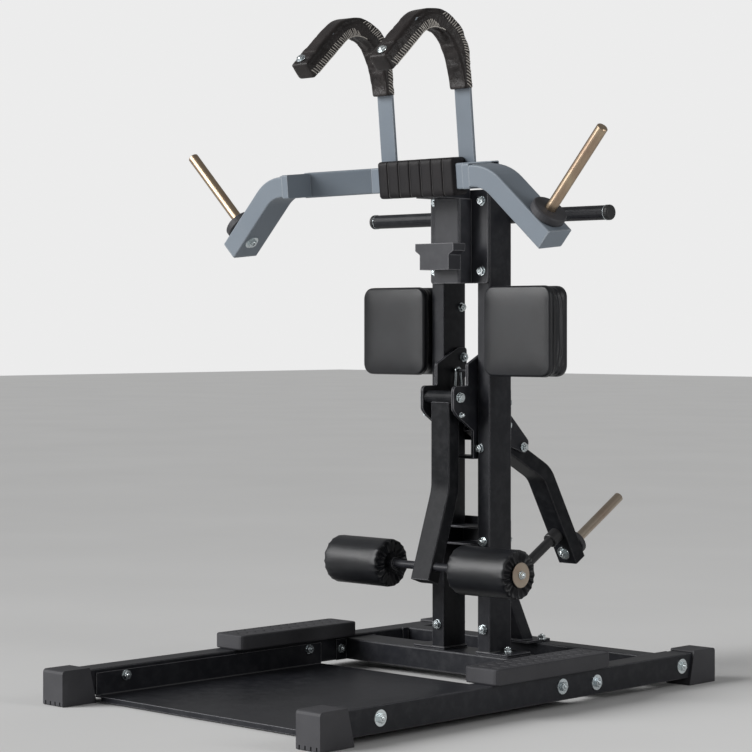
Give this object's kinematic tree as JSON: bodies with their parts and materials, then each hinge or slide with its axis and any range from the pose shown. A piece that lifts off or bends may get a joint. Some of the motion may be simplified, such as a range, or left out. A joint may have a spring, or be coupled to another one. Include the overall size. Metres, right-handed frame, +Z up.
{
  "type": "squat station",
  "caption": "Free-standing squat and leg curl station with a lift-off shoulder yoke, roller lever, thigh pads, plate horns and a floor plate.",
  "frame": {"origin": "middle of the footprint on the floor", "axes": "+X across the station towards the side with the right-hand rail, +Y from the user's floor plate to the weight arm at the back, +Z up"},
  "size_m": [1.347, 1.5642, 1.6055],
  "materials": {
    "black_powder_coat": "satin black powder coat",
    "grey_powder_coat": "satin light blue-grey powder coat",
    "dark_rubber": "matt dark grey rubber",
    "black_plastic": "matt black plastic",
    "black_vinyl": "soft black upholstery vinyl",
    "brown_black_leather": "very dark brown laced leather",
    "zinc_plate": "bright zinc plate",
    "yellow_zinc": "yellow passivated zinc",
    "bronze_zinc": "bronze-toned zinc plate"
  },
  "bodies": {
    "frame_body": {"arm_bracket": "black_powder_coat", "arm_pin": "zinc_plate", "bar_cap_left": "black_plastic", "bar_cap_right": "black_plastic", "column_left": "black_powder_coat", "column_right": "black_powder_coat", "column_tie": "black_powder_coat", "curl_bracket": "black_powder_coat", "floor_plate": "black_powder_coat", "foot_block_left": "dark_rubber", "foot_block_right": "dark_rubber", "foot_front_left": "dark_rubber", "foot_front_right": "dark_rubber", "foot_rear_left": "dark_rubber", "foot_rear_right": "dark_rubber", "lever_axle": "zinc_plate", "mid_beam": "black_powder_coat", "pad_bracket_left": "black_powder_coat", "pad_bracket_right": "black_powder_coat", "post_bracket": "black_powder_coat", "post_rest": "black_powder_coat", "rail_left": "black_powder_coat", "rail_right": "black_powder_coat", "rear_beam": "black_powder_coat", "rear_brace": "black_powder_coat", "snap_pin": "black_powder_coat", "storage_bar": "black_powder_coat", "thigh_pad_left": "black_vinyl", "thigh_pad_right": "black_vinyl"},
    "yoke_body": {"yoke_centre": "grey_powder_coat", "yoke_stem": "black_powder_coat", "back_wrap": "brown_black_leather", "yoke_diagonal_left": "grey_powder_coat", "yoke_diagonal_right": "grey_powder_coat", "yoke_arm_left": "grey_powder_coat", "yoke_arm_right": "grey_powder_coat", "arm_cap_inner_left": "grey_powder_coat", "arm_cap_inner_right": "grey_powder_coat", "arm_cap_outer_left": "grey_powder_coat", "arm_cap_outer_right": "grey_powder_coat", "plate_horn_left": "yellow_zinc", "plate_horn_right": "yellow_zinc", "stop_disc_left": "dark_rubber", "stop_disc_right": "dark_rubber", "hook_bar_left": "grey_powder_coat", "hook_bar_right": "grey_powder_coat", "hook_pad_left": "brown_black_leather", "hook_pad_right": "brown_black_leather"},
    "lever_body": {"curl_lever": "black_powder_coat", "roller_shaft": "black_powder_coat", "roller_disc_left": "bronze_zinc", "roller_disc_right": "bronze_zinc"},
    "roller_left_body": {"roller_left": "black_vinyl"},
    "roller_right_body": {"roller_right": "black_vinyl"},
    "arm_body": {"weight_arm": "black_powder_coat", "weight_horn": "bronze_zinc", "weight_disc": "dark_rubber", "stop_rod": "black_plastic"},
    "snap_body": {"snap_hook": "zinc_plate"}
  },
  "joints": [
    {"name": "yoke_lift", "type": "slide", "parent": "frame_body", "child": "yoke_body", "axis": [0, 0, 1], "range_m": [0, 0.1]},
    {"name": "lever_hinge", "type": "hinge", "parent": "frame_body", "child": "lever_body", "pos_m": [0, 0.08393, 0.6955], "axis": [-1, 0, 0], "range_deg": [0, 80]},
    {"name": "roller_spin_left", "type": "hinge", "parent": "lever_body", "child": "roller_left_body", "pos_m": [-0.204, 0.02646, 0.289], "axis": [1, 0, 0], "continuous": true},
    {"name": "roller_spin_right", "type": "hinge", "parent": "lever_body", "child": "roller_right_body", "pos_m": [0.204, 0.02646, 0.289], "axis": [1, 0, 0], "continuous": true},
    {"name": "weight_arm_hinge", "type": "hinge", "parent": "frame_body", "child": "arm_body", "pos_m": [0, 0.34393, 0.566], "axis": [1, 0, 0], "range_deg": [0, 40]},
    {"name": "snap_swing", "type": "hinge", "parent": "frame_body", "child": "snap_body", "pos_m": [-0.036, 0.18093, 0.758], "axis": [1, 0, 0], "range_deg": [-50, 50]}
  ],
  "couplings": [
    {"joint": "weight_arm_hinge", "follows": "lever_hinge", "ratio": 0.5}
  ]
}
